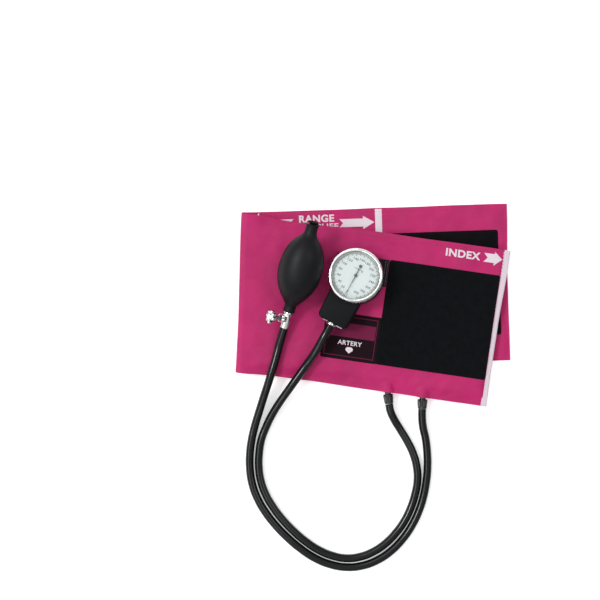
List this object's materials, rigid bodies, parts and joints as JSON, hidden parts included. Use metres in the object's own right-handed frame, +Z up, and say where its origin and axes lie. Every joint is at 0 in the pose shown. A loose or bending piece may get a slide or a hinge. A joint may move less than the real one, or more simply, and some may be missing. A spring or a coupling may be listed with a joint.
{
  "type": "aneroid blood pressure cuff",
  "caption": "Folded nylon blood pressure cuff with rubber bulb, screw air release valve, round dial gauge, rubber hoses, and hook and loop fastening.",
  "frame": {"origin": "on the flat rest face under the flap, midway between the fold and the flap's free end", "axes": "+X from the fold along the cuff, +Y along the fold away from the hoses, +Z up out of the rest face"},
  "size_m": [0.2534, 0.3476, 0.0532],
  "materials": {
    "nylon": "satin coated weave",
    "white_tape": "matte tape",
    "black_pile": "matte pile",
    "label_cloth": "matte woven label",
    "webbing": "matte webbing",
    "black_rubber": "satin",
    "bladder_rubber": "matte",
    "chrome": "polished",
    "black_enamel": "semi-gloss",
    "dial_white": "matte",
    "needle_black": "matte",
    "brass": "satin",
    "steel": "satin",
    "lens_glass": "clear"
  },
  "bodies": {
    "cuff_front": {"front_outer_cover": "nylon", "front_inner_cover": "nylon", "bladder": "bladder_rubber", "port_sleeve_left": "black_rubber", "port_barb_left": "steel", "port_sleeve_right": "black_rubber", "port_barb_right": "steel", "index_binding": "white_tape", "loop_patch": "black_pile", "cuff_label": "label_cloth", "gauge_strap": "webbing", "bulb_hose": "black_rubber", "gauge_hose": "black_rubber", "gauge_case": "black_enamel", "gauge_bezel": "chrome", "gauge_lens": "lens_glass", "dial_plate": "dial_white", "dial_ring": "brass", "movement_plate": "brass", "pressure_capsule": "brass", "hairspring": "brass", "gauge_neck": "black_enamel", "gauge_stem": "chrome", "gauge_clip": "chrome", "bulb": "black_rubber", "inlet_valve_body": "black_enamel", "valve_body": "chrome", "stem_seal": "black_rubber"},
    "cuff_flap": {"flap_outer_cover": "nylon", "flap_inner_cover": "nylon", "hook_patch": "black_pile", "range_bar": "white_tape"},
    "pointer_shaft": {"pointer": "needle_black", "pointer_arbor": "steel"},
    "sector": {"sector_gear": "brass"},
    "rocker": {"rocking_shaft": "steel"},
    "capsule_top": {"capsule_pin": "steel"},
    "valve_needle": {"valve_stem": "steel"},
    "knob": {"valve_knob": "chrome"},
    "inlet_check": {"inlet_ball": "steel"},
    "outlet_check": {"outlet_ball": "steel"}
  },
  "joints": [
    {"name": "flap_fold", "type": "hinge", "parent": "cuff_front", "child": "cuff_flap", "pos_m": [-0.124, 0, 0.00345], "axis": [0, 1, 0], "range_deg": [0, 180]},
    {"name": "pointer_turn", "type": "hinge", "parent": "cuff_front", "child": "pointer_shaft", "pos_m": [-0.01862, 0.01939, 0.02967], "axis": [0.1098, -0.0989, -0.989], "range_deg": [0, 330]},
    {"name": "sector_swing", "type": "hinge", "parent": "cuff_front", "child": "sector", "pos_m": [-0.02436, 0.00718, 0.03025], "axis": [0.1098, -0.0989, -0.989], "range_deg": [-41.3, 0]},
    {"name": "rocker_swing", "type": "hinge", "parent": "cuff_front", "child": "rocker", "pos_m": [-0.0212, 0.0127, 0.02641], "axis": [0.8985, -0.4156, 0.1414], "range_deg": [0, 10]},
    {"name": "capsule_lift", "type": "slide", "parent": "cuff_front", "child": "capsule_top", "axis": [-0.1098, 0.0989, 0.989], "range_m": [0, 0.0011]},
    {"name": "valve_travel", "type": "slide", "parent": "cuff_front", "child": "valve_needle", "axis": [-0.8298, 0.0404, 0.5565], "range_m": [0, 0.00106]},
    {"name": "valve_turn", "type": "hinge", "parent": "valve_needle", "child": "knob", "pos_m": [-0.09152, -0.02211, 0.02878], "axis": [-0.8298, 0.0404, 0.5565], "range_deg": [0, 540]},
    {"name": "inlet_ball_travel", "type": "slide", "parent": "cuff_front", "child": "inlet_check", "axis": [0.2084, 0.9477, 0.2419], "range_m": [0, 0.0034]},
    {"name": "outlet_ball_travel", "type": "slide", "parent": "cuff_front", "child": "outlet_check", "axis": [0.2084, 0.9477, 0.2419], "range_m": [0, 0.004]}
  ],
  "couplings": [
    {"joint": "sector_swing", "follows": "pointer_turn", "ratio": -0.125},
    {"joint": "rocker_swing", "follows": "pointer_turn", "ratio": 0.030273},
    {"joint": "capsule_lift", "follows": "pointer_turn", "m_per_rad": 0.00018925},
    {"joint": "valve_travel", "follows": "valve_turn", "m_per_rad": 0.0001114}
  ]
}
